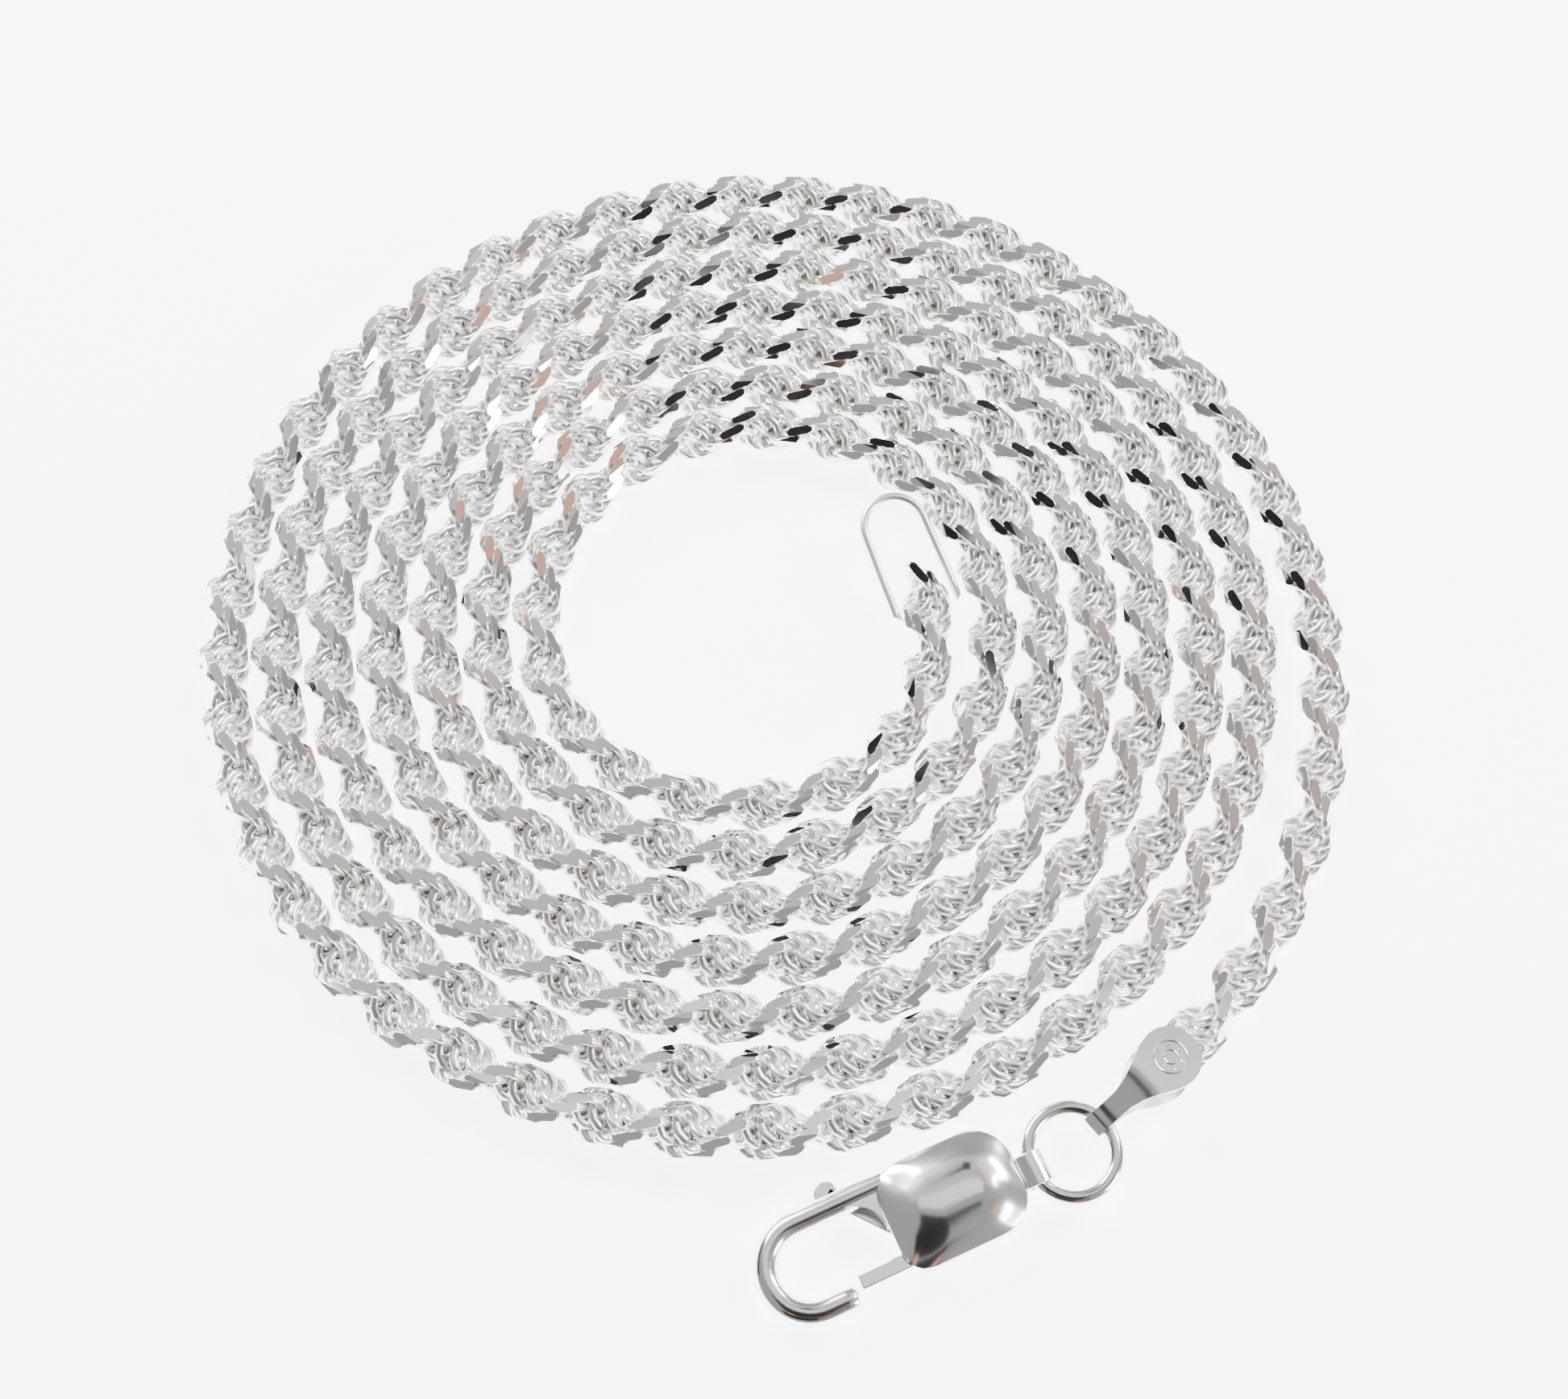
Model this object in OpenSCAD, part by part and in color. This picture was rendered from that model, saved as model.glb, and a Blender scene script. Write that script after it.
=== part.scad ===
// Rope chain necklace, coiled flat, with a lobster clasp, a jump ring and an end tab.
// Units are millimetres. +Z is up, and the necklace lies on the plane z = 0.
// The rope is cut into rigid stretches with a hinge between each two. A stretch is drawn as
// the round outline that its interlocked links fill.

/* [Rope] */
// Number of rigid rope segments between the hinges
segments = 48; // [44:1:48]
// Links in each segment
links_per_segment = 51; // [46:1:51]
// Radius of a link, from its centre to the middle of its wire
link_r = 0.7716; // [0.76:0.0001:0.78]
// Wire diameter of a link
wire_d = 0.177; // [0.12:0.001:0.18]
// Distance between neighbouring links along the rope
link_step = 0.312; // [0.31:0.0005:0.312]
// How far a link's centre stands off the rope's axis
link_offset = 0.287; // [0.28:0.001:0.295]

/* [Coil] */
// Radius of the coil at the rope's inner end
coil_r = 8.5; // [8.3:0.01:8.7]
// Distance between neighbouring turns
coil_pitch = 2.345; // [2.34:0.005:2.36]
// Direction of the rope's inner end, in degrees from +X
coil_start = 14.3; // [13:0.1:15]
// How far the rope's outer end leaves the coil
flare = 1.3; // [1.2:0.1:1.5]
// How far the rope's inner end is drawn in from the coil
tuck = 0.6; // [0.5:0.1:0.7]
// How far the rope's outer end is lifted onto the end tab's lower leaf
end_lift = 0.36; // [0.35:0.01:0.37]

/* [End link] */
// Width of the end link over its round end
end_link_w = 3.3; // [3.1:0.1:3.6]
// Straight length of its legs
end_link_leg = 3.3; // [3:0.1:3.6]
// Thickness of its wire
end_link_wire = 0.42; // [0.36:0.01:0.46]
// How far it leans towards the middle of the coil, in degrees
end_link_lean = 8; // [6:1:12]
// How far its round end is raised, in degrees
end_link_rise = 14; // [12:1:18]

/* [End tab] */
// Diameter of the tab's round end
tab_w = 2.5; // [2.4:0.1:2.7]
// Distance from the round end's centre to the fold
tab_len = 3.4; // [3.2:0.1:3.6]
// Thickness of the sheet
tab_t = 0.3; // [0.25:0.01:0.32]
// Width of the sheet at the fold
tab_fold_w = 0.86; // [0.8:0.01:0.95]

/* [Jump ring] */
// Radius of the jump ring to the middle of its wire
ring_r = 1.77; // [1.75:0.01:1.8]
// Wire diameter of the jump ring
ring_wire = 0.64; // [0.6:0.01:0.65]
// Direction from the fold to the ring's centre, in degrees from +X
ring_turn = 225; // [222:1:228]

/* [Clasp] */
// Direction of the clasp's length, in degrees from +X
clasp_turn = 24; // [24:1:26]
// Distance from the hook loop's centre to the tail loop's centre
clasp_len = 8.91; // [8.88:0.01:8.95]
// Diameter of the hook's wire
hook_wire = 1.0; // [0.95:0.01:1.02]
// Radius of the hook's round end to the middle of its wire
hook_r = 1.73; // [1.7:0.01:1.76]
// Thickness of the clasp's body
body_t = 2.4; // [2.3:0.1:2.5]
// Thickness of the body's two walls
wall_t = 0.35; // [0.3:0.01:0.36]
// Radius of the pivot pin
pin_r = 0.3; // [0.28:0.01:0.32]
// Outside diameter of the tail loop
tail_od = 1.4; // [1.36:0.01:1.44]
// Bore of the tail loop
tail_bore = 1.0; // [0.98:0.01:1.02]

/* [Hidden] */
$fn = 48;
MARGIN = 1;
PIVOT_GAP = 0.03;
JOINT_GAP = 0.12;
COIL_CENTRE = [-0.9244, 2.3626];
HOOK_CENTRE = [-0.67, 0.24];
HOOK_TIP_X = 0.6;
WEB_R = 1.25;
WEB_T = 0.8;
GATE_Y = -1.1;
GATE_W = 0.6;
GATE_T = 0.6;
GATE_GAP = 0.25;
PIVOT = [3.65, -0.4];
HUB_R = 0.75;
THUMB = [1.1, 2.6];
THUMB_R = 0.5;
ARM_Z = [0.37, 0.63];
BODY_LEFT = 2.7;
BODY_RIGHT = 8.37;
BODY_TOP = HOOK_CENTRE[1] + hook_r + hook_wire / 2;
BODY_BOTTOM = -1.82;
BODY_CORNER = 1.65;
BODY_HEEL = 0.8;
TAIL_LEN = 1.3;
SPRING_T = 0.12;
LEG_BACK = 0.65;
LEG_GAP = 0.15;
BEND_X = 1.3;
FOLD_GAP = 0.12;
MARK_R = 0.72;
MARK_DEPTH = 0.05;

rope_d = 2 * (link_r + link_offset) + wire_d;
rope_z = rope_d / 2;
segment_len = links_per_segment * link_step;
rope_len = segments * segment_len;
growth = coil_pitch / 360;
degrees_per_radian = 180 / PI;

// Angle wound at a distance along the rope: the inverse of the spiral's length
function wound(s) = (sqrt(coil_r * coil_r + 2 * growth * s * degrees_per_radian) - coil_r) / growth;
// Smooth step from 0 to 1
function ease(t) = t <= 0 ? 0 : t >= 1 ? 1 : t * t * (3 - 2 * t);
function flare_at(s) = flare * ease(1 - (rope_len - s) / 45);
function tuck_at(s) = tuck * ease(1 - s / 12);
function lift_at(s) = end_lift * ease(1 - (rope_len - s) / 14);
function azimuth(s) = coil_start - wound(s);
function radius(s) = coil_r + growth * wound(s) + flare_at(s) - tuck_at(s);
function rope_point(s) = [
    radius(s) * cos(azimuth(s)),
    radius(s) * sin(azimuth(s)),
    rope_z + lift_at(s)
];
function rope_heading(s) =
    let (d = rope_point(s + 0.01) - rope_point(s - 0.01)) atan2(d[1], d[0]);
// Points of an arc, from one angle to another
function arc_points(x, y, r, from, to) =
    [for (i = [0:18]) let (a = from + (to - from) * i / 18) [x + r * cos(a), y + r * sin(a)]];
function segment_name(k) = str("rope_", k < 10 ? "0" : "", k);
// Centre of the circle through three points, in plan
function arc_centre(a, b, c) =
    let (
        ab = [b[0] - a[0], b[1] - a[1]],
        ac = [c[0] - a[0], c[1] - a[1]],
        area = 2 * (ab[0] * ac[1] - ab[1] * ac[0])
    )
    [
        a[0] + (ac[1] * (ab * ab) - ab[1] * (ac * ac)) / area,
        a[1] + (ab[0] * (ac * ac) - ac[0] * (ab * ab)) / area
    ];

tab_turn = rope_heading(rope_len);
tab_centre = rope_point(rope_len) + [cos(tab_turn), sin(tab_turn), 0] * -0.45;
fold_point = tab_centre + [cos(tab_turn), sin(tab_turn), 0] * tab_len;
level = body_t / 2;
ring_centre = [
    fold_point[0] + ring_r * cos(ring_turn),
    fold_point[1] + ring_r * sin(ring_turn),
    level
];
tail_point = [
    ring_centre[0] - ring_r * cos(clasp_turn),
    ring_centre[1] - ring_r * sin(clasp_turn),
    level
];
clasp_origin = [
    tail_point[0] - clasp_len * cos(clasp_turn),
    tail_point[1] - clasp_len * sin(clasp_turn)
];

// ---------- placing ----------

module on_table() {
    translate([COIL_CENTRE[0], COIL_CENTRE[1], 0]) children();
}

// Local +X runs along the rope, away from the inner end, and +Z is up.
module on_rope(s) {
    translate(rope_point(s)) rotate([0, 0, rope_heading(s)]) children();
}

// Local +X runs from the hook to the tail, +Y from the gate to the thumb tab.
module on_clasp() {
    translate([clasp_origin[0], clasp_origin[1], 0]) rotate([0, 0, clasp_turn]) children();
}

// Local +X runs from the tab's round end to its fold.
module on_tab() {
    translate([tab_centre[0], tab_centre[1], 0]) rotate([0, 0, tab_turn]) children();
}

// ---------- rope ----------

// One rigid stretch of rope, as the round outline that its links fill: an arc through
// the stretch's two ends and its middle.
module rope_segment(k) {
    from = rope_point((k - 1) * segment_len + JOINT_GAP / 2);
    via = rope_point((k - 0.5) * segment_len);
    to = rope_point(k * segment_len - JOINT_GAP / 2);
    centre = arc_centre(from, via, to);
    arc_r = norm([from[0] - centre[0], from[1] - centre[1]]);
    start = atan2(to[1] - centre[1], to[0] - centre[0]);
    end = atan2(from[1] - centre[1], from[0] - centre[0]);
    color("gainsboro")
        on_table()
            translate([centre[0], centre[1], rope_z + lift_at(k * segment_len)])
                rotate([0, 0, start])
                    rotate_extrude(angle = (end - start + 360) % 360)
                        translate([arc_r, 0])
                            circle(d = rope_d - 0.01);
}

// ---------- end pieces ----------

// Plan of the end link: a round end and two legs that close in on the rope.
module end_link_plan(inset, back) {
    side = end_link_w / 2 - inset;
    leg = rope_d / 2 + LEG_GAP + end_link_wire - inset;
    translate([end_link_leg, 0]) circle(r = side);
    polygon([
        [end_link_leg, side], [LEG_BACK, leg], [-back, leg],
        [-back, -leg], [LEG_BACK, -leg], [end_link_leg, -side]
    ]);
}

// A long wire loop whose legs run down both sides of the rope's last links.
module end_link() {
    color("silver")
        on_table()
            on_rope(LEG_BACK)
                mirror([1, 0, 0])
                    rotate([0, -end_link_rise, 0])
                        rotate([0, 0, -end_link_lean])
                            linear_extrude(height = end_link_wire, center = true)
                                difference() {
                                    end_link_plan(0, LEG_BACK);
                                    end_link_plan(end_link_wire, LEG_BACK + MARGIN);
                                }
}

// Plan of the tab: a round end that narrows to the fold.
module tab_plan() {
    reach = tab_len + ring_wire / 2 + tab_t + MARGIN;
    polygon(concat(
        arc_points(0, 0, tab_w / 2, 74, 286),
        [
            [tab_len - 0.9, -tab_fold_w / 2], [reach, -tab_fold_w / 2],
            [reach, tab_fold_w / 2], [tab_len - 0.9, tab_fold_w / 2]
        ]
    ));
}

// Side view of the folded strap, along X and up Y, as one line of even thickness.
module tab_side() {
    inner = ring_wire / 2 + FOLD_GAP;
    low = PIVOT_GAP;
    high = low + tab_t + rope_d + 0.04;
    polygon(concat(
        [[-tab_w, low], [BEND_X, low]],
        arc_points(tab_len, level, inner + tab_t, -90, 90),
        [[BEND_X, high + tab_t], [-tab_w, high + tab_t], [-tab_w, high], [BEND_X, high]],
        arc_points(tab_len, level, inner, 90, -90),
        [[BEND_X, low + tab_t], [-tab_w, low + tab_t]]
    ));
}

module end_tab() {
    color("silver")
        on_table()
            on_tab()
                difference() {
                    intersection() {
                        linear_extrude(height = 6) tab_plan();
                        rotate([90, 0, 0])
                            translate([0, 0, -tab_w])
                                linear_extrude(height = 2 * tab_w) tab_side();
                    }
                    translate([0, 0, 2 * tab_t + rope_d + 0.07 - MARK_DEPTH])
                        difference() {
                            cylinder(r = MARK_R, h = MARGIN);
                            translate([0, 0, -MARGIN]) cylinder(r = MARK_R - 0.09, h = 3 * MARGIN);
                        }
                }
}

module jump_ring() {
    color("silver")
        on_table()
            translate(ring_centre)
                rotate_extrude()
                    translate([ring_r, 0])
                        circle(d = ring_wire);
}

// ---------- clasp ----------

// Outline of the body, with the two tail corners round and the heel by the gate smaller.
module body_outline(inset) {
    r = BODY_CORNER - inset;
    left = BODY_LEFT + inset;
    right = BODY_RIGHT - inset;
    top = BODY_TOP - inset;
    bottom = BODY_BOTTOM + inset;
    heel = BODY_HEEL - inset;
    difference() {
        translate([left, bottom]) square([right - left, top - bottom]);
        translate([right - r, top - r]) square(r + MARGIN);
        translate([right - r, bottom - MARGIN]) square([r + MARGIN, r + MARGIN]);
        translate([left - MARGIN, bottom - MARGIN]) square([heel + MARGIN, heel + MARGIN]);
    }
    translate([right - r, top - r]) circle(r = r);
    translate([right - r, bottom + r]) circle(r = r);
    translate([left + heel, bottom + heel]) circle(r = heel);
}

// Two walls joined round the tail and along the back, and the hook that grows out of them.
module clasp_body() {
    color("silver")
        on_table()
            on_clasp() {
                difference() {
                    linear_extrude(height = body_t) body_outline(0);
                    translate([0, 0, wall_t])
                        linear_extrude(height = body_t - 2 * wall_t) body_outline(wall_t);
                    // way out for the gate
                    translate([BODY_LEFT - MARGIN, GATE_Y - GATE_W, wall_t])
                        cube([2 * MARGIN, 2.6, body_t - 2 * wall_t]);
                    // way out for the thumb arm
                    translate([BODY_LEFT - MARGIN, 0.3, wall_t])
                        cube([MARGIN + 1.6, BODY_TOP, ARM_Z[1] - wall_t + 0.06]);
                    translate([PIVOT[0], PIVOT[1], -MARGIN])
                        cylinder(r = pin_r, h = body_t + 2 * MARGIN);
                }
                hook();
            }
}

module hook() {
    centre_y = HOOK_CENTRE[1];
    translate([HOOK_CENTRE[0], centre_y, level])
        rotate([0, 0, 90])
            rotate_extrude(angle = 180)
                translate([hook_r, 0])
                    circle(d = hook_wire);
    translate([HOOK_CENTRE[0], centre_y + hook_r, level])
        rotate([0, 90, 0])
            cylinder(d = hook_wire, h = BODY_LEFT - HOOK_CENTRE[0] + wall_t);
    translate([HOOK_CENTRE[0], centre_y - hook_r, level])
        rotate([0, 90, 0])
            cylinder(d = hook_wire, h = HOOK_TIP_X - HOOK_CENTRE[0]);
    // web in the corner between the wire and the body
    translate([BODY_LEFT - WEB_R, centre_y + hook_r - WEB_R - 0.35, level - WEB_T / 2])
        linear_extrude(height = WEB_T)
            difference() {
                square([WEB_R + 0.1, WEB_R + 0.35]);
                circle(r = WEB_R);
            }
}

// The collar that the jump ring runs in, soldered to the body's tail.
module clasp_tail_loop() {
    color("silver")
        on_table()
            on_clasp()
                translate([clasp_len, 0, level])
                    difference() {
                        union() {
                            rotate([90, 0, 0])
                                cylinder(d = tail_od, h = TAIL_LEN, center = true);
                            translate([BODY_RIGHT - clasp_len, -TAIL_LEN / 2, -0.4])
                                cube([clasp_len - BODY_RIGHT, TAIL_LEN, 0.8]);
                        }
                        rotate([90, 0, 0])
                            cylinder(d = tail_bore, h = 2 * TAIL_LEN, center = true);
                    }
}

// Gate bar, hub and thumb arm in one piece.
module clasp_lever() {
    gate_low = level - GATE_T / 2;
    gate_left = HOOK_TIP_X + GATE_GAP;
    arm_to = THUMB - PIVOT;
    arm_len = norm(arm_to);
    arm_turn = atan2(arm_to[1], arm_to[0]);
    color("gainsboro")
        on_table()
            on_clasp()
                difference() {
                    union() {
                        translate([PIVOT[0], PIVOT[1], ARM_Z[0]])
                            cylinder(r = HUB_R, h = level + GATE_T / 2 - ARM_Z[0]);
                        translate([gate_left, GATE_Y - GATE_W / 2, gate_low])
                            cube([PIVOT[0] - gate_left, GATE_W, GATE_T]);
                        translate([PIVOT[0], PIVOT[1], ARM_Z[0]])
                            rotate([0, 0, arm_turn])
                                translate([0, -0.3, 0])
                                    cube([arm_len, 0.6, ARM_Z[1] - ARM_Z[0]]);
                        translate([THUMB[0], THUMB[1], ARM_Z[0]])
                            cylinder(r = THUMB_R, h = ARM_Z[1] - ARM_Z[0]);
                    }
                    translate([PIVOT[0], PIVOT[1], 0])
                        cylinder(r = pin_r + PIVOT_GAP, h = body_t);
                }
}

module clasp_pivot_pin() {
    color("gray")
        on_table()
            on_clasp()
                translate([PIVOT[0], PIVOT[1], 0])
                    cylinder(r = pin_r, h = body_t);
}

// Leaf spring between the lever's hub and the body's tail end.
module clasp_spring() {
    color("darkgray")
        on_table()
            on_clasp()
                translate([PIVOT[0] + HUB_R + 0.35, BODY_BOTTOM + wall_t + 0.03, 0.8])
                    cube([SPRING_T, BODY_TOP - BODY_BOTTOM - 2 * wall_t - 0.06, 0.8]);
}

// ---------- output ----------

for (k = [1:segments]) rope_segment(k);
end_link();
end_tab();
jump_ring();
clasp_body();
clasp_tail_loop();
clasp_lever();
clasp_pivot_pin();
clasp_spring();
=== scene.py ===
# %% [markdown]
# # A rope chain necklace with a lobster clasp
#
# This lesson builds a twisted rope chain, coiled flat on a pale table, and the small
# parts that close it: a long end link, a folded end tab, a jump ring and a lobster clasp.
#
# The ideas used are:
#
# 1. one formula for the route of the rope, used for every link and every end piece;
# 2. one link spun from a small circle, cut flat by planes round the rope, and repeated;
# 3. plates and shells built from outlines, so that every size has a name;
# 4. silver made only from noise and maths, without any image.
#
# Sizes are written in millimetres and turned into metres with `MM`.

import math
import random

import bmesh
import bpy
from mathutils import Matrix, Vector


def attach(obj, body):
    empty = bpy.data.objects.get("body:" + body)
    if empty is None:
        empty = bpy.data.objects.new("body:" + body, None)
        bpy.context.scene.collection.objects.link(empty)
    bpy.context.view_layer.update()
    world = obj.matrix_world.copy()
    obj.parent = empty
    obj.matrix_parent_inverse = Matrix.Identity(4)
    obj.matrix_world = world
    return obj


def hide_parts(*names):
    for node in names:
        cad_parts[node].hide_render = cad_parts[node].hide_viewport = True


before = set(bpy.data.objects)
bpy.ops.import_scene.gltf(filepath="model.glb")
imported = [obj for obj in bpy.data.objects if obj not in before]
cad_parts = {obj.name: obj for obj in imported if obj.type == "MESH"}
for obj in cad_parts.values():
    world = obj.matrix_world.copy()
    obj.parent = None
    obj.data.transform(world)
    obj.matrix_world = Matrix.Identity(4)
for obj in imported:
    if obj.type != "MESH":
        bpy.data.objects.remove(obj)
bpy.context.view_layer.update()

MM = 0.001
random.seed(7)

# %% [markdown]
# ## The route of the rope
#
# The rope is a flat spiral, wound clockwise outwards. Its outer end leaves the coil a
# little and is lifted onto the end tab. Its inner end is drawn in a little. The length
# along the rope, `s`, gives the angle wound so far, and from it every position.

# %% Route
SEGMENTS = 48
LINKS_PER_SEGMENT = 51
LINK_STEP = 0.312
ROPE_D = 2.2942
ROPE_Z = ROPE_D / 2
COIL_R = 8.5
COIL_PITCH = 2.345
COIL_START = math.radians(14.3)
COIL_CENTRE = (-0.9244, 2.3626)
FLARE = 1.3
FLARE_LEN = 45
TUCK = 0.6
TUCK_LEN = 12
END_LIFT = 0.36
LIFT_LEN = 14
SEGMENT_LEN = LINKS_PER_SEGMENT * LINK_STEP
ROPE_LEN = SEGMENTS * SEGMENT_LEN
GROWTH = COIL_PITCH / (2 * math.pi)


def ease(t):
    """Smooth step from 0 to 1."""
    t = min(max(t, 0.0), 1.0)
    return t * t * (3 - 2 * t)


def rope_point(s):
    """Point of the rope's middle line at a length s from its inner end, in millimetres."""
    wound = (math.sqrt(COIL_R**2 + 2 * GROWTH * s) - COIL_R) / GROWTH
    radius = COIL_R + GROWTH * wound
    to_end = ROPE_LEN - s
    radius += FLARE * ease(1 - to_end / FLARE_LEN) - TUCK * ease(1 - s / TUCK_LEN)
    angle = COIL_START - wound
    return Vector((
        COIL_CENTRE[0] + radius * math.cos(angle),
        COIL_CENTRE[1] + radius * math.sin(angle),
        ROPE_Z + END_LIFT * ease(1 - to_end / LIFT_LEN),
    ))


def rope_turn(s):
    """Heading of the rope in plan, in radians."""
    ahead = rope_point(s + 0.01) - rope_point(s - 0.01)
    return math.atan2(ahead.y, ahead.x)


def on_rope(s):
    """Matrix of the local frame at s: +X along the rope and +Z up, in millimetres."""
    return Matrix.Translation(rope_point(s)) @ Matrix.Rotation(rope_turn(s), 4, "Z")


print("Rope length in mm:", round(ROPE_LEN, 1))

# %% [markdown]
# ## The camera
#
# The camera looks down at the coil at a steep angle, a short way off.

# %% Camera
CAMERA_ELEVATION = math.radians(64.93)
CAMERA_DISTANCE = 79.3
CAMERA_TARGET = Vector((COIL_CENTRE[0] + 1.5, COIL_CENTRE[1] - 4.12, 1.2))
CAMERA_LENS = 40.85


def make_camera():
    """Adds the main camera, aimed at CAMERA_TARGET."""
    data = bpy.data.cameras.new("camera")
    data.lens = CAMERA_LENS
    data.sensor_width = 36
    data.sensor_fit = "HORIZONTAL"
    data.clip_start = 0.002
    data.clip_end = 20
    camera = bpy.data.objects.new("camera", data)
    bpy.context.scene.collection.objects.link(camera)
    forward = Vector((0, math.cos(CAMERA_ELEVATION), -math.sin(CAMERA_ELEVATION)))
    camera.location = (CAMERA_TARGET - forward * CAMERA_DISTANCE) * MM
    camera.rotation_euler = (math.pi / 2 - CAMERA_ELEVATION, 0, 0)
    bpy.context.scene.camera = camera
    return camera


camera = make_camera()
print("Camera at", tuple(round(v, 4) for v in camera.location))

# %% [markdown]
# ## Shader maths
#
# `Maths` wraps a shader socket so that a formula can be written with ordinary
# operators. `Shader` makes the nodes, through one method.

# %% Shader helpers


class Maths:
    """A shader value that can be added, subtracted and multiplied like a number."""

    def __init__(self, shader, socket):
        self.shader = shader
        self.socket = socket

    def _op(self, operation, other):
        node = self.shader.node("ShaderNodeMath", operation=operation)
        for slot, value in zip(node.inputs, (self, other)):
            self.shader.feed(slot, value)
        return Maths(self.shader, node.outputs[0])

    def __add__(self, other):
        return self._op("ADD", other)

    def __sub__(self, other):
        return self._op("SUBTRACT", other)

    def __mul__(self, other):
        return self._op("MULTIPLY", other)


class Shader:
    """A material with one Principled surface and a single way of adding nodes."""

    def __init__(self, name, color, metallic=1.0, roughness=0.15):
        self.material = bpy.data.materials.new(name)
        self.material.use_nodes = True
        self.tree = self.material.node_tree
        self.surface = self.tree.nodes["Principled BSDF"]
        self.surface.inputs["Base Color"].default_value = (*color, 1)
        self.surface.inputs["Metallic"].default_value = metallic
        self.surface.inputs["Roughness"].default_value = roughness
        self.material.diffuse_color = (*color, 1)

    def node(self, kind, **settings):
        made = self.tree.nodes.new(kind)
        for key, value in settings.items():
            setattr(made, key, value)
        return made

    def feed(self, slot, value):
        if isinstance(value, Maths):
            self.tree.links.new(value.socket, slot)
        else:
            slot.default_value = value

    def noise(self, scale, detail=2.0):
        """Noise from 0 to 1 over the object's own coordinates."""
        position = self.node("ShaderNodeTexCoord").outputs["Object"]
        noise = self.node("ShaderNodeTexNoise")
        noise.inputs["Scale"].default_value = scale
        noise.inputs["Detail"].default_value = detail
        self.tree.links.new(position, noise.inputs["Vector"])
        return Maths(self, noise.outputs["Fac"])

    def attribute(self, name):
        """A value stored on the faces of the mesh."""
        node = self.node("ShaderNodeAttribute", attribute_name=name)
        return Maths(self, node.outputs["Fac"])

    def rough(self, value):
        self.feed(self.surface.inputs["Roughness"], value)

    def bump(self, height, distance, strength):
        bump = self.node("ShaderNodeBump")
        bump.inputs["Strength"].default_value = strength
        bump.inputs["Distance"].default_value = distance
        self.feed(bump.inputs["Height"], height)
        self.tree.links.new(bump.outputs["Normal"], self.surface.inputs["Normal"])


# %% [markdown]
# ## Materials
#
# Everything but the spring is silver. The flats cut on the links have the least
# roughness and the wire between them is duller. The cast clasp is polished and
# slightly wavy, and the spring is steel.

# %% Materials
SILVER = (0.93, 0.915, 0.895)


def link_silver():
    """Bright silver of the links, with a slight change of polish from place to place."""
    shader = Shader("link_silver", SILVER, roughness=0.2)
    shader.rough(shader.noise(900) * 0.1 + 0.27 - shader.attribute("cut") * 0.25)
    return shader.material


def cast_silver():
    """Polished cast silver: a faint unevenness and fine wear."""
    shader = Shader("polished_silver", SILVER, roughness=0.14)
    shader.rough(shader.noise(500, 3) * 0.16 + 0.07)
    shader.bump(shader.noise(260, 1), 0.00006, 0.35)
    return shader.material


def spring_metal():
    return Shader("spring_steel", (0.55, 0.55, 0.57), roughness=0.35).material


LINK_SILVER = link_silver()
CAST_SILVER = cast_silver()
SPRING_STEEL = spring_metal()

print("Materials:", LINK_SILVER.name, CAST_SILVER.name, SPRING_STEEL.name)

# %% [markdown]
# ## Finishing a piece
#
# Every piece goes through `finish_piece`: it is scaled to metres, gets its material,
# and is told which body it rides on, and the imported parts that it stands for are hidden.

# %% Finishing


def finish_piece(name, maker, material, body, nodes, bevel=0.0):
    """Turns a bmesh in millimetres into a placed piece."""
    bmesh.ops.scale(maker, vec=(MM, MM, MM), verts=maker.verts)
    mesh = bpy.data.meshes.new(name)
    maker.to_mesh(mesh)
    maker.free()
    mesh.materials.append(material)
    piece = bpy.data.objects.new(name, mesh)
    bpy.context.scene.collection.objects.link(piece)
    if bevel:
        modifier = piece.modifiers.new("bevel", "BEVEL")
        modifier.width = bevel * MM
        modifier.segments = 2
        modifier.limit_method = "ANGLE"
        modifier.angle_limit = math.radians(40)
    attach(piece, body)
    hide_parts(*nodes)
    # Blender adds a number after a dot when a material's name is taken.
    return piece


def smooth_by_angle(maker, degrees):
    """Smooth faces, with the edges sharper than an angle kept sharp."""
    limit = math.radians(degrees)
    for face in maker.faces:
        face.smooth = True
    for edge in maker.edges:
        if len(edge.link_faces) == 2 and edge.calc_face_angle(0) > limit:
            edge.smooth = False


def loop_mesh(loops, closed=False):
    """Skin over loops with the same number of points, capped unless it closes on itself."""
    maker = bmesh.new()
    rings = [[maker.verts.new(point) for point in loop] for loop in loops]
    pairs = list(zip(rings, rings[1:]))
    if closed:
        pairs.append((rings[-1], rings[0]))
    for low, high in pairs:
        for i in range(len(low)):
            j = (i + 1) % len(low)
            maker.faces.new((low[i], low[j], high[j], high[i]))
    if not closed:
        maker.faces.new(rings[0][::-1])
        maker.faces.new(rings[-1])
    bmesh.ops.recalc_face_normals(maker, faces=maker.faces)
    return maker


def tube(path, radii, sides):
    """Round tube along a level path."""
    loops = []
    up = Vector((0, 0, 1))
    for i, point in enumerate(path):
        before, after = path[max(i - 1, 0)], path[min(i + 1, len(path) - 1)]
        ahead = (after - before).normalized()
        side = up.cross(ahead).normalized()
        loops.append([
            point + (side * math.cos(a) + up * math.sin(a)) * radii[i]
            for a in (2 * math.pi * k / sides for k in range(sides))
        ])
    return loop_mesh(loops)


def box(maker, low, high):
    """Adds a box between two corners to a bmesh, and gives back its vertices."""
    made = bmesh.ops.create_cube(maker, size=1)["verts"]
    size = Vector(high) - Vector(low)
    bmesh.ops.scale(maker, vec=size, verts=made)
    bmesh.ops.translate(maker, vec=(Vector(low) + Vector(high)) / 2, verts=made)
    return made


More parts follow.
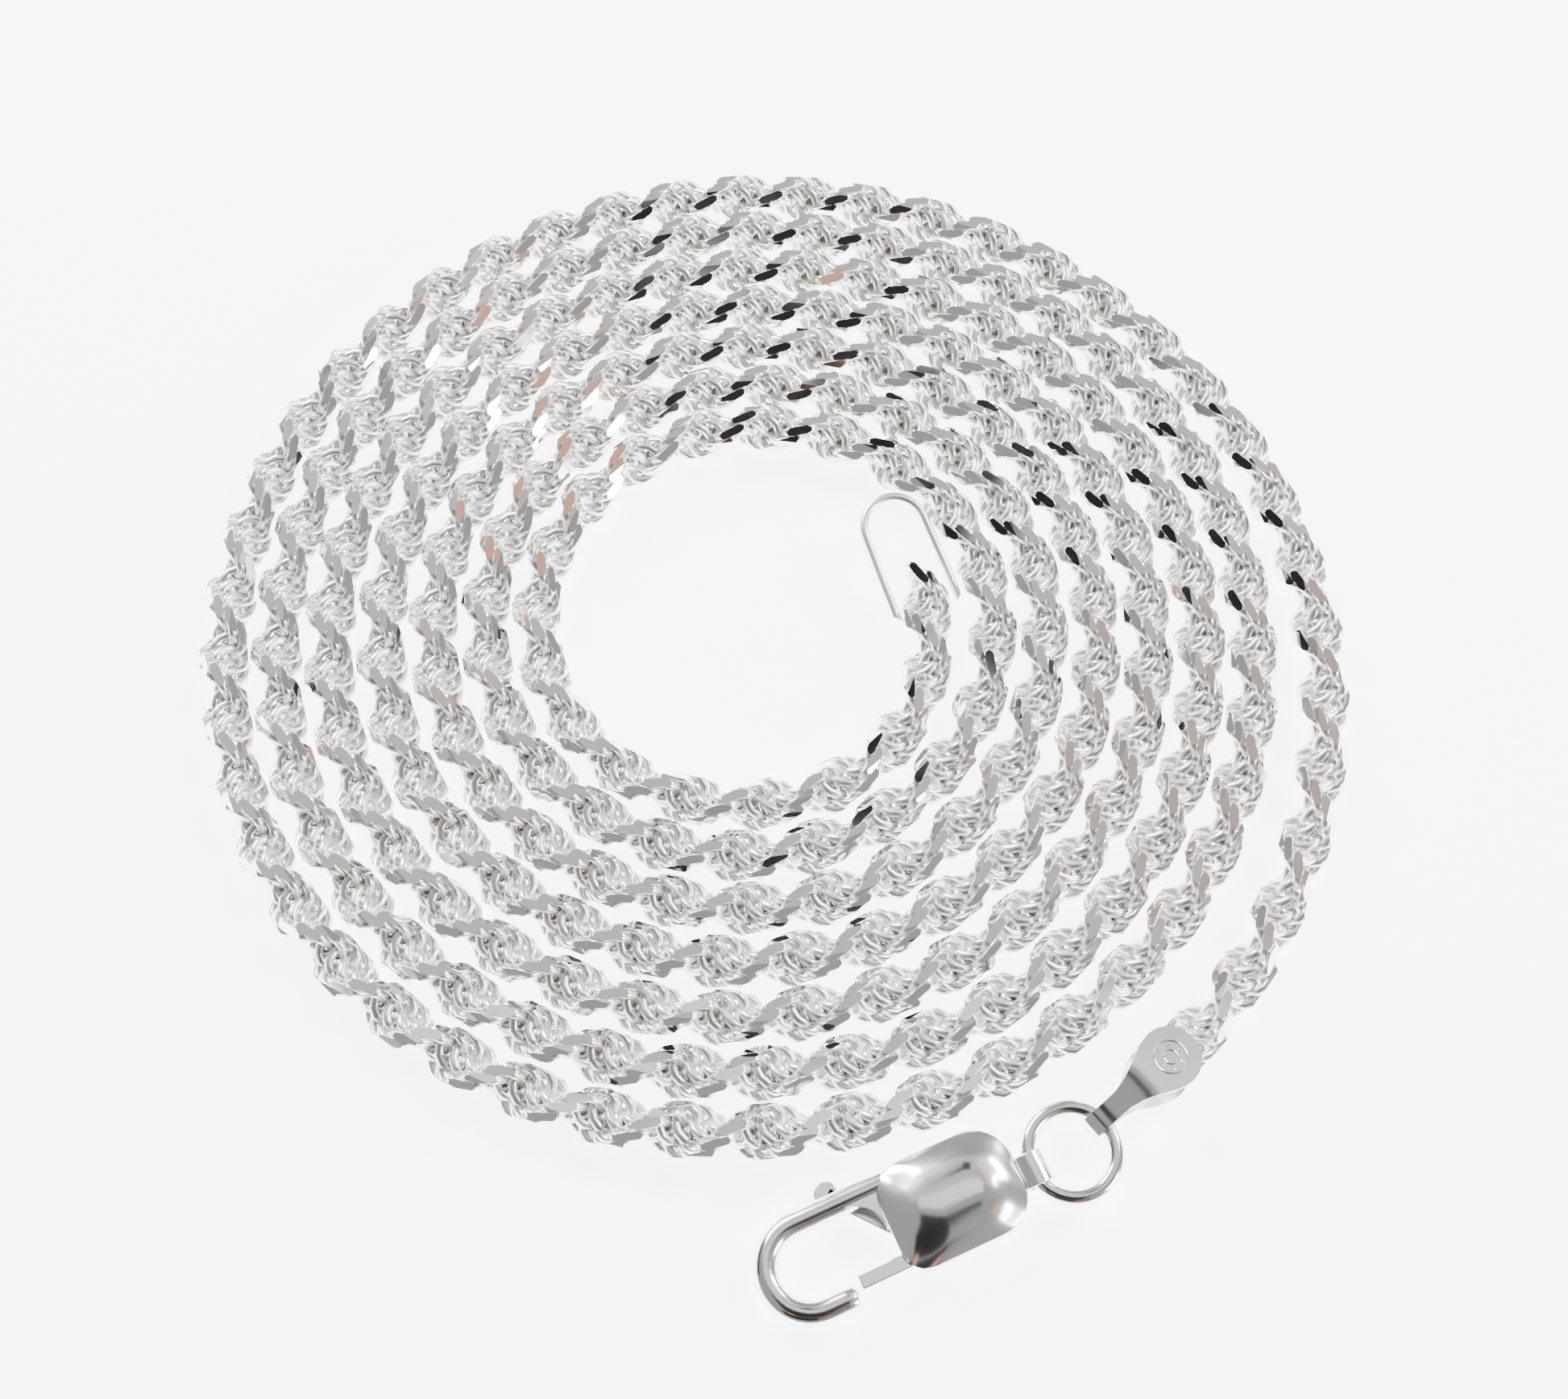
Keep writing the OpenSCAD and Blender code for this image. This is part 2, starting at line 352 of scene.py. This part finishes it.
def disc(maker, centre, radius, low, high, sides=28):
    """Adds an upright round disc to a bmesh."""
    made = bmesh.ops.create_cone(
        maker, cap_ends=True, segments=sides, radius1=radius, radius2=radius,
        depth=high - low,
    )["verts"]
    bmesh.ops.translate(maker, vec=(centre[0], centre[1], (low + high) / 2), verts=made)


print("Helpers are ready")

# %% [markdown]
# ## One link
#
# A link is a round wire bent into a ring with an opening, turned a little about its
# radial axis and leaned a little. Each link is rolled half a turn and 17 degrees more
# than the one before it, to the left, which makes two strands of links wind round each
# other. The wire is drawn fuller than it could be in metal, so neighbouring links run
# into each other inside the rope.
#
# The finished rope was then cut flat by a diamond tool from eight sides. In a link's
# own frame those eight planes stand at other angles for each link, and the pattern
# comes round again after 45 links, so 45 shapes are enough for the whole rope.

# %% Link shapes
LINK_R = 0.82
LINK_OFFSET = 0.3
LINK_WIRE_R = 0.215
LINK_TWIST = 197
LINK_TURN = 20
LINK_LEAN = 4.8
GAP_HALF = 24
GAP_SHIFT = -21
CUT_DEPTH_R = 1.07
CUT_SIDES = 8
CUT_TURN_PLAY = 2.5
CUT_SLOPE_PLAY = 0.03
CUT_REACH = 0.4
SHAPES = 45
WIRE_SIDES = 7
RING_STEPS = 12


def link_placing():
    """Matrix from the flat ring to its place in the rolled frame."""
    return (
        Matrix.Translation((0, 0, LINK_OFFSET))
        @ Matrix.Rotation(math.radians(LINK_TURN), 4, "Z")
        @ Matrix.Rotation(math.radians(LINK_LEAN), 4, "X")
        @ Matrix.Rotation(math.radians(90), 4, "X")
        @ Matrix.Rotation(math.radians(GAP_HALF + GAP_SHIFT - 90), 4, "Z")
    )


def link_shape(index):
    """Mesh of one of the cut links, in its rolled frame. Flats carry 1 in "cut"."""
    maker = bmesh.new()
    flat = maker.faces.layers.float.new("cut")
    section = bmesh.ops.create_circle(
        maker, cap_ends=True, segments=WIRE_SIDES, radius=LINK_WIRE_R,
        matrix=Matrix.Translation((LINK_R, 0, 0)) @ Matrix.Rotation(math.pi / 2, 4, "X"),
    )["verts"]
    start = list({face for vert in section for face in vert.link_faces})
    bmesh.ops.spin(
        maker, geom=section + start + list(maker.edges), cent=(0, 0, 0), axis=(0, 0, 1),
        dvec=(0, 0, 0), angle=math.radians(360 - 2 * GAP_HALF), steps=RING_STEPS,
        use_merge=False, use_duplicate=False,
    )
    bmesh.ops.transform(maker, matrix=link_placing(), verts=maker.verts)
    for face in maker.faces:
        face.smooth = len(face.verts) == 4
    roll = math.radians(-LINK_TWIST * index)
    for side in range(CUT_SIDES):
        angle = 2 * math.pi * side / CUT_SIDES - roll
        angle += math.radians(random.uniform(-CUT_TURN_PLAY, CUT_TURN_PLAY))
        slope = random.uniform(-CUT_SLOPE_PLAY, CUT_SLOPE_PLAY)
        normal = Vector((slope, -math.sin(angle), math.cos(angle)))
        if normal.z < CUT_REACH:
            continue  # this plane passes beside the link
        cut = bmesh.ops.bisect_plane(
            maker, geom=list(maker.verts) + list(maker.edges) + list(maker.faces),
            plane_co=normal * CUT_DEPTH_R, plane_no=normal, clear_outer=True,
        )
        rim = [part for part in cut["geom_cut"] if isinstance(part, bmesh.types.BMEdge)]
        if rim:
            filled = bmesh.ops.holes_fill(maker, edges=rim, sides=0)["faces"]
            for face in filled:
                face.smooth = False
                face[flat] = 1.0
    bmesh.ops.recalc_face_normals(maker, faces=maker.faces)
    mesh = bpy.data.meshes.new("link_shape")
    maker.to_mesh(mesh)
    maker.free()
    return mesh


LINK_SHAPES = [link_shape(index) for index in range(SHAPES)]
print("Faces in a link:", len(LINK_SHAPES[0].polygons))

# %% [markdown]
# ## The rope
#
# Each stretch of rope that moves as one joins its 51 links into one piece.

# %% Rope


def rope_stretch(number):
    """The links of one stretch, as one piece."""
    maker = bmesh.new()
    maker.faces.layers.float.new("cut")
    for k in range(LINKS_PER_SEGMENT):
        index = (number - 1) * LINKS_PER_SEGMENT + k
        known = len(maker.verts)
        maker.from_mesh(LINK_SHAPES[index % SHAPES])
        maker.verts.ensure_lookup_table()
        roll = Matrix.Rotation(math.radians(-LINK_TWIST * index), 4, "X")
        bmesh.ops.transform(
            maker, matrix=on_rope((index + 0.5) * LINK_STEP) @ roll,
            verts=maker.verts[known:],
        )
    body = f"rope_{number:02d}"
    return finish_piece(f"rope_links_{number:02d}", maker, LINK_SILVER, body, [body])


rope = [rope_stretch(number) for number in range(1, SEGMENTS + 1)]
flats = sum(value.value for value in rope[0].data.attributes["cut"].data)
print("Flats on the first stretch:", int(flats))
print("Links:", SEGMENTS * LINKS_PER_SEGMENT, "in", len(rope), "pieces")

# %% [markdown]
# ## The end link
#
# A long wire loop. Its legs run down both sides of the rope's last links and end in
# slanted tips. Its round end is raised a little, over the next turn of the coil.

# %% End link
END_LINK_W = 3.3
END_LINK_LEG = 3.3
END_LINK_WIRE = 0.42
END_LINK_LEAN = math.radians(8)
END_LINK_RISE = math.radians(14)
LEG_BACK = 0.65
LEG_GAP = 0.15
TIP_SLANT = 0.9
TIP_SHIFT = 0.02


def end_link():
    """A wire swept along a U, with its two tips cut on a slant."""
    half = (END_LINK_W - END_LINK_WIRE) / 2
    leg = ROPE_D / 2 + LEG_GAP + END_LINK_WIRE / 2
    path = [Vector((-LEG_BACK, leg, 0)), Vector((0, leg, 0)), Vector((LEG_BACK, leg, 0))]
    path += [
        Vector((END_LINK_LEG + half * math.sin(a), half * math.cos(a), 0))
        for a in (math.pi * k / 16 for k in range(17))
    ]
    path += [Vector((p.x, -p.y, 0)) for p in path[2::-1]]
    maker = tube(path, [END_LINK_WIRE * 0.5] * len(path), sides=8)
    for vert in maker.verts:
        if vert.co.x < -LEG_BACK + 0.01:
            inward = leg + END_LINK_WIRE / 2 - abs(vert.co.y)
            vert.co.x -= TIP_SLANT * inward + TIP_SHIFT
    mirror = Matrix.Scale(-1, 4, (1, 0, 0))
    rise = Matrix.Rotation(-END_LINK_RISE, 4, "Y")
    lean = Matrix.Rotation(-END_LINK_LEAN, 4, "Z")
    bmesh.ops.transform(
        maker, matrix=on_rope(LEG_BACK) @ mirror @ rise @ lean, verts=maker.verts
    )
    bmesh.ops.recalc_face_normals(maker, faces=maker.faces)
    smooth_by_angle(maker, 50)
    return finish_piece("end_link_loop", maker, LINK_SILVER, "rope_01", ["end_link"])


end_link_piece = end_link()
print("Made", end_link_piece.name)

# %% [markdown]
# ## The end tab
#
# A strip of sheet, folded round the jump ring, with two round leaves that hold the
# rope's last links between them. The upper leaf carries two fine raised rings with six
# dots between them.

# %% End tab
TAB_W = 2.5
TAB_LEN = 3.4
TAB_T = 0.3
TAB_FOLD_W = 0.86
RING_R = 1.77
RING_WIRE = 0.64
FOLD_GAP = 0.12
TAPER_FROM = 0.35
BEND_X = 1.3
STAMP_RINGS = (0.66, 0.28)
STAMP_WIRE_R = 0.04
STAMP_DOTS = 6
DOT_RING_R = 0.47
DOT_R = 0.07
BODY_T = 2.4
LEVEL = BODY_T / 2

tab_turn = rope_turn(ROPE_LEN)
tab_heading = Vector((math.cos(tab_turn), math.sin(tab_turn), 0))
tab_centre = rope_point(ROPE_LEN) - tab_heading * 0.45
tab_centre.z = 0
on_tab = Matrix.Translation(tab_centre) @ Matrix.Rotation(tab_turn, 4, "Z")


def tab_half_width(x):
    """Half of the sheet's width at a distance from the round end's centre."""
    taper_to = TAB_LEN - 0.9
    round_half = math.sqrt(max((TAB_W / 2) ** 2 - x * x, 0.0004))
    if x <= TAPER_FROM:
        return round_half
    from_half = math.sqrt((TAB_W / 2) ** 2 - TAPER_FROM**2)
    share = ease((x - TAPER_FROM) / (taper_to - TAPER_FROM)) ** 0.8
    return from_half + (TAB_FOLD_W / 2 - from_half) * share


def tab_path():
    """Middle line of the sheet seen from the side, from one round end to the other."""
    low = 0.03 + TAB_T / 2
    high = low + TAB_T + ROPE_D + 0.04
    leaf = [-TAB_W / 2 * math.cos(math.pi / 2 * k / 8) for k in range(9)]
    leaf += [TAPER_FROM, 0.65, 0.95, BEND_X]
    fold_r = RING_WIRE / 2 + FOLD_GAP + TAB_T / 2
    fold = [math.radians(-90 + 180 * k / 12) for k in range(13)]

    def slope(level, height):
        return [
            (BEND_X + (TAB_LEN - BEND_X) * t, height + (level - height) * ease(t))
            for t in (0.25, 0.5, 0.75)
        ]

    lower = [(x, low) for x in leaf] + slope(LEVEL - fold_r, low)
    upper = [(x, high) for x in leaf] + slope(LEVEL + fold_r, high)
    middle = [(TAB_LEN + fold_r * math.cos(a), LEVEL + fold_r * math.sin(a)) for a in fold]
    return lower + middle + upper[::-1]


def stamp(maker, top):
    """Two fine raised rings with dots between them, on the upper leaf."""
    for ring_r in STAMP_RINGS:
        circle = bmesh.ops.create_circle(
            maker, segments=8, radius=STAMP_WIRE_R,
            matrix=Matrix.Translation((ring_r, 0, top - 0.012))
            @ Matrix.Rotation(math.pi / 2, 4, "X"),
        )["verts"]
        edges = list({edge for vert in circle for edge in vert.link_edges})
        bmesh.ops.spin(
            maker, geom=circle + edges, cent=(0, 0, 0), axis=(0, 0, 1), dvec=(0, 0, 0),
            angle=2 * math.pi, steps=40, use_merge=True, use_duplicate=False,
        )
    for k in range(STAMP_DOTS):
        turn = Matrix.Rotation(2 * math.pi * k / STAMP_DOTS, 4, "Z")
        bmesh.ops.create_icosphere(
            maker, subdivisions=1, radius=DOT_R,
            matrix=turn @ Matrix.Translation((DOT_RING_R, 0, top - 0.03)),
        )
    bmesh.ops.recalc_face_normals(maker, faces=maker.faces)


def end_tab():
    """The folded strip, from sections across it."""
    path = tab_path()
    loops = []
    for i, (x, z) in enumerate(path):
        before, after = path[max(i - 1, 0)], path[min(i + 1, len(path) - 1)]
        ahead = Vector((after[0] - before[0], 0, after[1] - before[1])).normalized()
        out = Vector((ahead.z, 0, -ahead.x)) * (TAB_T / 2)
        half = tab_half_width(x)
        middle = Vector((x, 0, z))
        across = [half, half * 0.6, 0, -half * 0.6, -half]
        loops.append(
            [middle + out + Vector((0, y, 0)) for y in across]
            + [middle - out + Vector((0, y, 0)) for y in across[::-1]]
        )
    maker = loop_mesh(loops)
    stamp(maker, path[-1][1] + TAB_T / 2)
    bmesh.ops.transform(maker, matrix=on_tab, verts=maker.verts)
    smooth_by_angle(maker, 40)
    return finish_piece("end_tab_strap", maker, CAST_SILVER, "rope_48", ["end_tab"], bevel=0.04)


end_tab_piece = end_tab()
print("Made", end_tab_piece.name)

# %% [markdown]
# ## The jump ring
#
# A plain round ring that runs through the fold of the tab and the collar of the clasp.

# %% Jump ring
RING_TURN = math.radians(225)
CLASP_TURN = math.radians(24)
CLASP_LEN = 8.91

fold_point = tab_centre + tab_heading * TAB_LEN + Vector((0, 0, LEVEL))
ring_centre = fold_point + Vector((math.cos(RING_TURN), math.sin(RING_TURN), 0)) * RING_R
clasp_heading = Vector((math.cos(CLASP_TURN), math.sin(CLASP_TURN), 0))
clasp_origin = ring_centre - clasp_heading * (RING_R + CLASP_LEN)
clasp_origin.z = 0
on_clasp = Matrix.Translation(clasp_origin) @ Matrix.Rotation(CLASP_TURN, 4, "Z")


def jump_ring():
    """A ring spun from a circle."""
    maker = bmesh.new()
    bmesh.ops.create_circle(
        maker, segments=20, radius=RING_WIRE / 2,
        matrix=Matrix.Translation((RING_R, 0, 0)) @ Matrix.Rotation(math.pi / 2, 4, "X"),
    )
    bmesh.ops.spin(
        maker, geom=list(maker.verts) + list(maker.edges), cent=(0, 0, 0), axis=(0, 0, 1),
        dvec=(0, 0, 0), angle=2 * math.pi, steps=72, use_merge=True, use_duplicate=False,
    )
    bmesh.ops.recalc_face_normals(maker, faces=maker.faces)
    bmesh.ops.translate(maker, vec=ring_centre, verts=maker.verts)
    smooth_by_angle(maker, 60)
    return finish_piece("jump_ring_wire", maker, CAST_SILVER, "jump_ring", ["jump_ring"])


jump_ring_piece = jump_ring()
print("Made", jump_ring_piece.name)

# %% [markdown]
# ## The clasp
#
# The body is a hollow shell with a domed top, and the hook grows out of it. The
# lever turns inside it: its gate bar closes the hook, and its thumb tab comes out
# under the hook's wire on the other side. Places are in the clasp's own frame, which
# starts near the middle of the hook's loop, with +X towards the tail and +Y towards
# the thumb tab.

# %% Clasp body
HOOK_CENTRE = (-0.67, 0.24)
HOOK_R = 1.73
HOOK_WIRE = 1.0
HOOK_TIP_X = 0.6
BODY_LEFT = 2.7
BODY_RIGHT = 8.37
BODY_TOP = 2.47
BODY_BOTTOM = -1.82
BODY_CORNER = 1.65
BODY_SHOULDER = 1.3
BODY_HEEL = 1.1
WALL_T = 0.35
CAVITY_TOP = 1.62
GATE_Y = -1.1
GATE_W = 0.6
GATE_T = 0.6
PIVOT = (3.65, -0.4)
HUB_R = 0.75
THUMB = (1.1, 2.6)
THUMB_R = 0.5
ARM_Z = (0.37, 0.63)
DOME_REACH = 2.0
DOME_INSETS = (1.95, 1.75, 1.5, 1.25, 1.0, 0.8, 0.6, 0.42, 0.28, 0.16, 0.07, 0.02)
# Inset and height up the side wall. The seam is the shallow groove half way up.
SIDE_WALL = ((0, 0.6), (0, 0.9), (0.07, 0.95), (0.07, 1.05), (0, 1.1), (0, 1.5), (0.02, 1.6))


def body_outline(inset, z):
    """Points round the body, moved in from its edge by inset."""
    left, right = BODY_LEFT + inset, BODY_RIGHT - inset
    bottom, top = BODY_BOTTOM + inset, BODY_TOP - inset
    corners = (
        (right, bottom, BODY_CORNER, -90),
        (right, top, BODY_CORNER, 0),
        (left, top, BODY_SHOULDER, 90),
        (left, bottom, BODY_HEEL, 180),
    )
    points = []
    for x, y, radius, start in corners:
        r = min(radius + 0.35 * inset, (BODY_TOP - BODY_BOTTOM) / 2 - inset - 0.02)
        cx = x - r if x == right else x + r
        cy = y - r if y == top else y + r
        for k in range(9):
            a = math.radians(start + 90 * k / 8)
            points.append(Vector((cx + r * math.cos(a), cy + r * math.sin(a), z)))
    return points


def dome(inset, edge, crown):
    """Height of the domed top at a distance in from the edge."""
    return crown - (crown - edge) * (1 - min(inset / DOME_REACH, 1)) ** 2.2


def clasp_shell():
    """The body's outside, from the table side up: a shallow bottom, a seam and a dome."""
    loops = [body_outline(d, BODY_T - dome(d, BODY_T - 0.45, BODY_T)) for d in DOME_INSETS]
    loops += [body_outline(inset, z) for inset, z in SIDE_WALL]
    loops += [body_outline(d, dome(d, 1.65, BODY_T)) for d in DOME_INSETS[::-1]]
    maker = loop_mesh(loops)
    smooth_by_angle(maker, 60)
    return maker


def cut_away(piece, makers):
    """Takes solids out of a piece with exact Boolean steps, and keeps the result."""
    for maker in makers:
        bmesh.ops.transform(maker, matrix=on_clasp, verts=maker.verts)
        bmesh.ops.scale(maker, vec=(MM, MM, MM), verts=maker.verts)
        mesh = bpy.data.meshes.new("cutter")
        maker.to_mesh(mesh)
        maker.free()
        cutter = bpy.data.objects.new("cutter", mesh)
        bpy.context.scene.collection.objects.link(cutter)
        modifier = piece.modifiers.new("cut", "BOOLEAN")
        modifier.operation = "DIFFERENCE"
        modifier.solver = "EXACT"
        modifier.object = cutter
        bpy.context.view_layer.update()
        shaped = piece.evaluated_get(bpy.context.evaluated_depsgraph_get())
        result = bpy.data.meshes.new_from_object(shaped)
        piece.modifiers.clear()
        piece.data = result
        bpy.data.objects.remove(cutter)
        bpy.data.meshes.remove(mesh)


def cavity():
    """The hollow inside the body."""
    return loop_mesh([body_outline(WALL_T, WALL_T), body_outline(WALL_T, CAVITY_TOP)])


def way_out(low, high):
    """A straight opening in the body's wall."""
    maker = bmesh.new()
    box(maker, low, high)
    return maker


def clasp_body():
    """The hollow shell."""
    maker = clasp_shell()
    bmesh.ops.transform(maker, matrix=on_clasp, verts=maker.verts)
    piece = finish_piece("clasp_shell", maker, CAST_SILVER, "clasp", ["clasp_body"])
    cut_away(piece, [
        cavity(),
        way_out((BODY_LEFT - 1, GATE_Y - GATE_W, WALL_T), (BODY_LEFT + 1, 0.9, CAVITY_TOP)),
        way_out((BODY_LEFT - 1, 0.3, WALL_T), (BODY_LEFT + 1.6, BODY_TOP + 0.3, 0.74)),
    ])
    return piece


def hook_web():
    """The curved web that fills the corner between the hook's wire and the body."""
    reach, base, high = 1.25, 0.3, HOOK_CENTRE[1] + HOOK_R
    curve = [
        (BODY_LEFT - reach * (1 - math.cos(a)), base + (high - 0.35 - base) * math.sin(a))
        for a in (math.pi / 2 * k / 10 for k in range(11))
    ]
    plan = [(BODY_LEFT + 0.5, base)] + curve + [
        (BODY_LEFT - reach, high + 0.2), (BODY_LEFT + 0.5, high + 0.2)
    ]
    return loop_mesh([[Vector((x, y, z)) for x, y in plan] for z in (LEVEL - 0.4, LEVEL + 0.42)])


def hook():
    """The round hook wire and the web where it joins the body."""
    cx, cy = HOOK_CENTRE
    path = [Vector((x, cy + HOOK_R, LEVEL)) for x in (3.3, 2.7, 2.1, 1.4, 0.7, 0)]
    path += [
        Vector((cx - HOOK_R * math.sin(a), cy + HOOK_R * math.cos(a), LEVEL))
        for a in (math.pi * k / 20 for k in range(21))
    ]
    path += [Vector((x, cy - HOOK_R, LEVEL)) for x in (-0.3, 0.1, 0.45, HOOK_TIP_X)]
    radii = [HOOK_WIRE / 2] * len(path)
    radii[-1] = HOOK_WIRE / 2 - 0.12
    maker = tube(path, radii, sides=20)
    web = bpy.data.meshes.new("web")
    web_maker = hook_web()
    web_maker.to_mesh(web)
    web_maker.free()
    maker.from_mesh(web)
    bpy.data.meshes.remove(web)
    bmesh.ops.transform(maker, matrix=on_clasp, verts=maker.verts)
    bmesh.ops.recalc_face_normals(maker, faces=maker.faces)
    smooth_by_angle(maker, 60)
    return finish_piece("clasp_hook", maker, CAST_SILVER, "clasp", ["clasp_body"])


clasp_body_piece = clasp_body()
hook_piece = hook()
print("Made", clasp_body_piece.name, "and", hook_piece.name)

# %% [markdown]
# The lever, its pin, the spring strip behind it, and the collar at the tail.

# %% Clasp parts
TAIL_OD = 1.4
TAIL_BORE = 1.0
TAIL_LEN = 1.3
PIN_R = 0.3
SPRING_GAP = 0.35
SPRING_T = 0.12


def clasp_lever():
    """Hub, gate bar, thumb arm and thumb disc."""
    maker = bmesh.new()
    disc(maker, PIVOT, HUB_R, ARM_Z[0], LEVEL + GATE_T / 2)
    box(
        maker,
        (HOOK_TIP_X + 0.25, GATE_Y - GATE_W / 2, LEVEL - GATE_T / 2),
        (PIVOT[0], GATE_Y + GATE_W / 2, LEVEL + GATE_T / 2),
    )
    reach = Vector(THUMB) - Vector(PIVOT)
    arm = box(maker, (0, -0.3, ARM_Z[0]), (reach.length, 0.3, ARM_Z[1]))
    turn = Matrix.Rotation(math.atan2(reach.y, reach.x), 4, "Z")
    bmesh.ops.transform(
        maker, matrix=Matrix.Translation((*PIVOT, 0)) @ turn, verts=arm
    )
    disc(maker, THUMB, THUMB_R, ARM_Z[0], ARM_Z[1])
    bmesh.ops.transform(maker, matrix=on_clasp, verts=maker.verts)
    smooth_by_angle(maker, 40)
    return finish_piece(
        "clasp_gate_lever", maker, CAST_SILVER, "lever", ["clasp_lever"], bevel=0.06
    )


def clasp_pin():
    """The pin that the lever turns on, closed off by the domed top."""
    maker = bmesh.new()
    disc(maker, PIVOT, PIN_R, 0.04, CAVITY_TOP + 0.3)
    bmesh.ops.transform(maker, matrix=on_clasp, verts=maker.verts)
    smooth_by_angle(maker, 40)
    return finish_piece("clasp_pin", maker, CAST_SILVER, "clasp", ["clasp_pivot_pin"])


def clasp_spring():
    """The strip that pushes the lever back."""
    maker = bmesh.new()
    x = PIVOT[0] + HUB_R + SPRING_GAP
    box(
        maker,
        (x, BODY_BOTTOM + WALL_T + 0.03, 0.8),
        (x + SPRING_T, BODY_TOP - WALL_T - 0.03, CAVITY_TOP - 0.05),
    )
    bmesh.ops.transform(maker, matrix=on_clasp, verts=maker.verts)
    return finish_piece("clasp_leaf_spring", maker, SPRING_STEEL, "clasp", ["clasp_spring"])


def clasp_collar():
    """The strap collar at the tail: a short tube across the clasp, with its neck."""
    steps = 36
    section = (
        (TAIL_BORE / 2, -TAIL_LEN / 2), (TAIL_OD / 2, -TAIL_LEN / 2),
        (TAIL_OD / 2, TAIL_LEN / 2), (TAIL_BORE / 2, TAIL_LEN / 2),
    )
    loops = [
        [Vector((r * math.cos(a), y, r * math.sin(a))) for r, y in section]
        for a in (2 * math.pi * k / steps for k in range(steps))
    ]
    maker = loop_mesh(loops, closed=True)
    box(
        maker, (BODY_RIGHT - CLASP_LEN - 0.15, -TAIL_LEN / 2 + 0.05, -0.4),
        (-TAIL_BORE / 2 - 0.05, TAIL_LEN / 2 - 0.05, 0.4),
    )
    bmesh.ops.translate(maker, vec=(CLASP_LEN, 0, LEVEL), verts=maker.verts)
    bmesh.ops.transform(maker, matrix=on_clasp, verts=maker.verts)
    bmesh.ops.recalc_face_normals(maker, faces=maker.faces)
    smooth_by_angle(maker, 40)
    return finish_piece(
        "clasp_collar", maker, CAST_SILVER, "clasp", ["clasp_tail_loop"], bevel=0.04
    )


small_parts = [clasp_lever(), clasp_pin(), clasp_spring(), clasp_collar()]
print("Made", ", ".join(piece.name for piece in small_parts))

# %% [markdown]
# ## The table and the light
#
# A plain white table and a soft white tent of light. Silver shows what is round it,
# so a few grey, dark and warm cards stand above and beside the necklace, out of sight.
# The stage is measured in metres.

# %% Stage
TABLE_SIZE = 0.17
TABLE_GLOW = 5.0
WORLD_GLOW = 0.4
WHITE = (0.9, 0.9, 0.9)
BLACK = (0.01, 0.01, 0.01)


def glowing(name, glow, base=BLACK):
    """An evenly glowing material, for the table and the cards."""
    shader = Shader(name, base, metallic=0, roughness=0.8)
    shader.surface.inputs["Specular IOR Level"].default_value = 0
    shader.surface.inputs["Emission Color"].default_value = (*glow, 1)
    shader.surface.inputs["Emission Strength"].default_value = 1
    return shader.material


def aim_from(thing, azimuth, elevation, distance):
    """Stands a thing off in a direction, given in degrees, and turns it to the necklace."""
    a, e = math.radians(azimuth), math.radians(elevation)
    towards = Vector((math.cos(a) * math.cos(e), math.sin(a) * math.cos(e), math.sin(e)))
    thing.location = towards * distance
    thing.rotation_euler = towards.to_track_quat("Z", "Y").to_euler()


def card(name, size, azimuth, elevation, distance, material):
    """A flat card that isn't seen by the camera, but shows in the silver."""
    bpy.ops.mesh.primitive_plane_add(size=1)
    made = bpy.context.object
    made.name = name
    made.scale = (size[0], size[1], 1)
    aim_from(made, azimuth, elevation, distance)
    made.data.materials.append(material)
    made.visible_camera = False
    made.visible_diffuse = False
    made.visible_shadow = False
    return made


def area_light(name, azimuth, elevation, distance, size, power):
    """A soft square light aimed at the necklace."""
    data = bpy.data.lights.new(name, "AREA")
    data.size = size
    data.energy = power
    light = bpy.data.objects.new(name, data)
    aim_from(light, azimuth, elevation, distance)
    bpy.context.scene.collection.objects.link(light)
    return light


bpy.ops.mesh.primitive_plane_add(size=TABLE_SIZE, location=(0, 0, -0.02 * MM))
table = bpy.context.object
table.name = "table"
table.data.materials.append(glowing("table_white", (TABLE_GLOW,) * 3, WHITE))

world = bpy.data.worlds.new("world")
bpy.context.scene.world = world
world.use_nodes = True
sky = world.node_tree.nodes["Background"]
sky.inputs["Color"].default_value = (1, 1, 1, 1)
sky.inputs["Strength"].default_value = WORLD_GLOW

DARK = glowing("card_dark", (0.01, 0.009, 0.009))
GREY = glowing("card_grey", (0.72, 0.69, 0.70))
PALE = glowing("card_pale", (1.3, 1.25, 1.25))
WARM = glowing("card_warm", (0.95, 0.5, 0.4))
PINK = glowing("card_pink", (0.62, 0.5, 0.48))

cards = [
    card("card_top", (0.50, 0.26), 92, 62, 0.34, GREY),
    card("card_zenith", (0.20, 0.06), 95, 86, 0.29, PALE),
    card("card_front", (0.34, 0.15), -92, 33, 0.34, DARK),
    card("card_lens", (0.21, 0.17), -92, 63, 0.30, DARK),
    card("card_back", (0.05, 0.07), 84, 60, 0.29, DARK),
    card("card_back_far", (0.04, 0.05), 120, 44, 0.29, DARK),
    card("card_left", (0.22, 0.10), 168, 24, 0.33, DARK),
    card("card_right", (0.06, 0.12), 12, 38, 0.31, DARK),
    card("card_warm_front", (0.07, 0.035), -72, 30, 0.31, WARM),
    card("card_warm_left", (0.03, 0.04), -112, 44, 0.31, WARM),
    card("card_warm_right", (0.07, 0.05), -32, 42, 0.30, WARM),
    card("card_pink", (0.10, 0.16), 40, 52, 0.30, PINK),
    card("card_warm_back", (0.03, 0.03), 108, 57, 0.28, WARM),
]
lights = [
    area_light("key", 128, 34, 0.45, 0.22, 5.0),
    area_light("fill", 35, 40, 0.45, 0.22, 4.0),
    area_light("low", -25, 22, 0.45, 0.16, 2.0),
]
print("Stage:", len(cards), "cards and", len(lights), "lights")
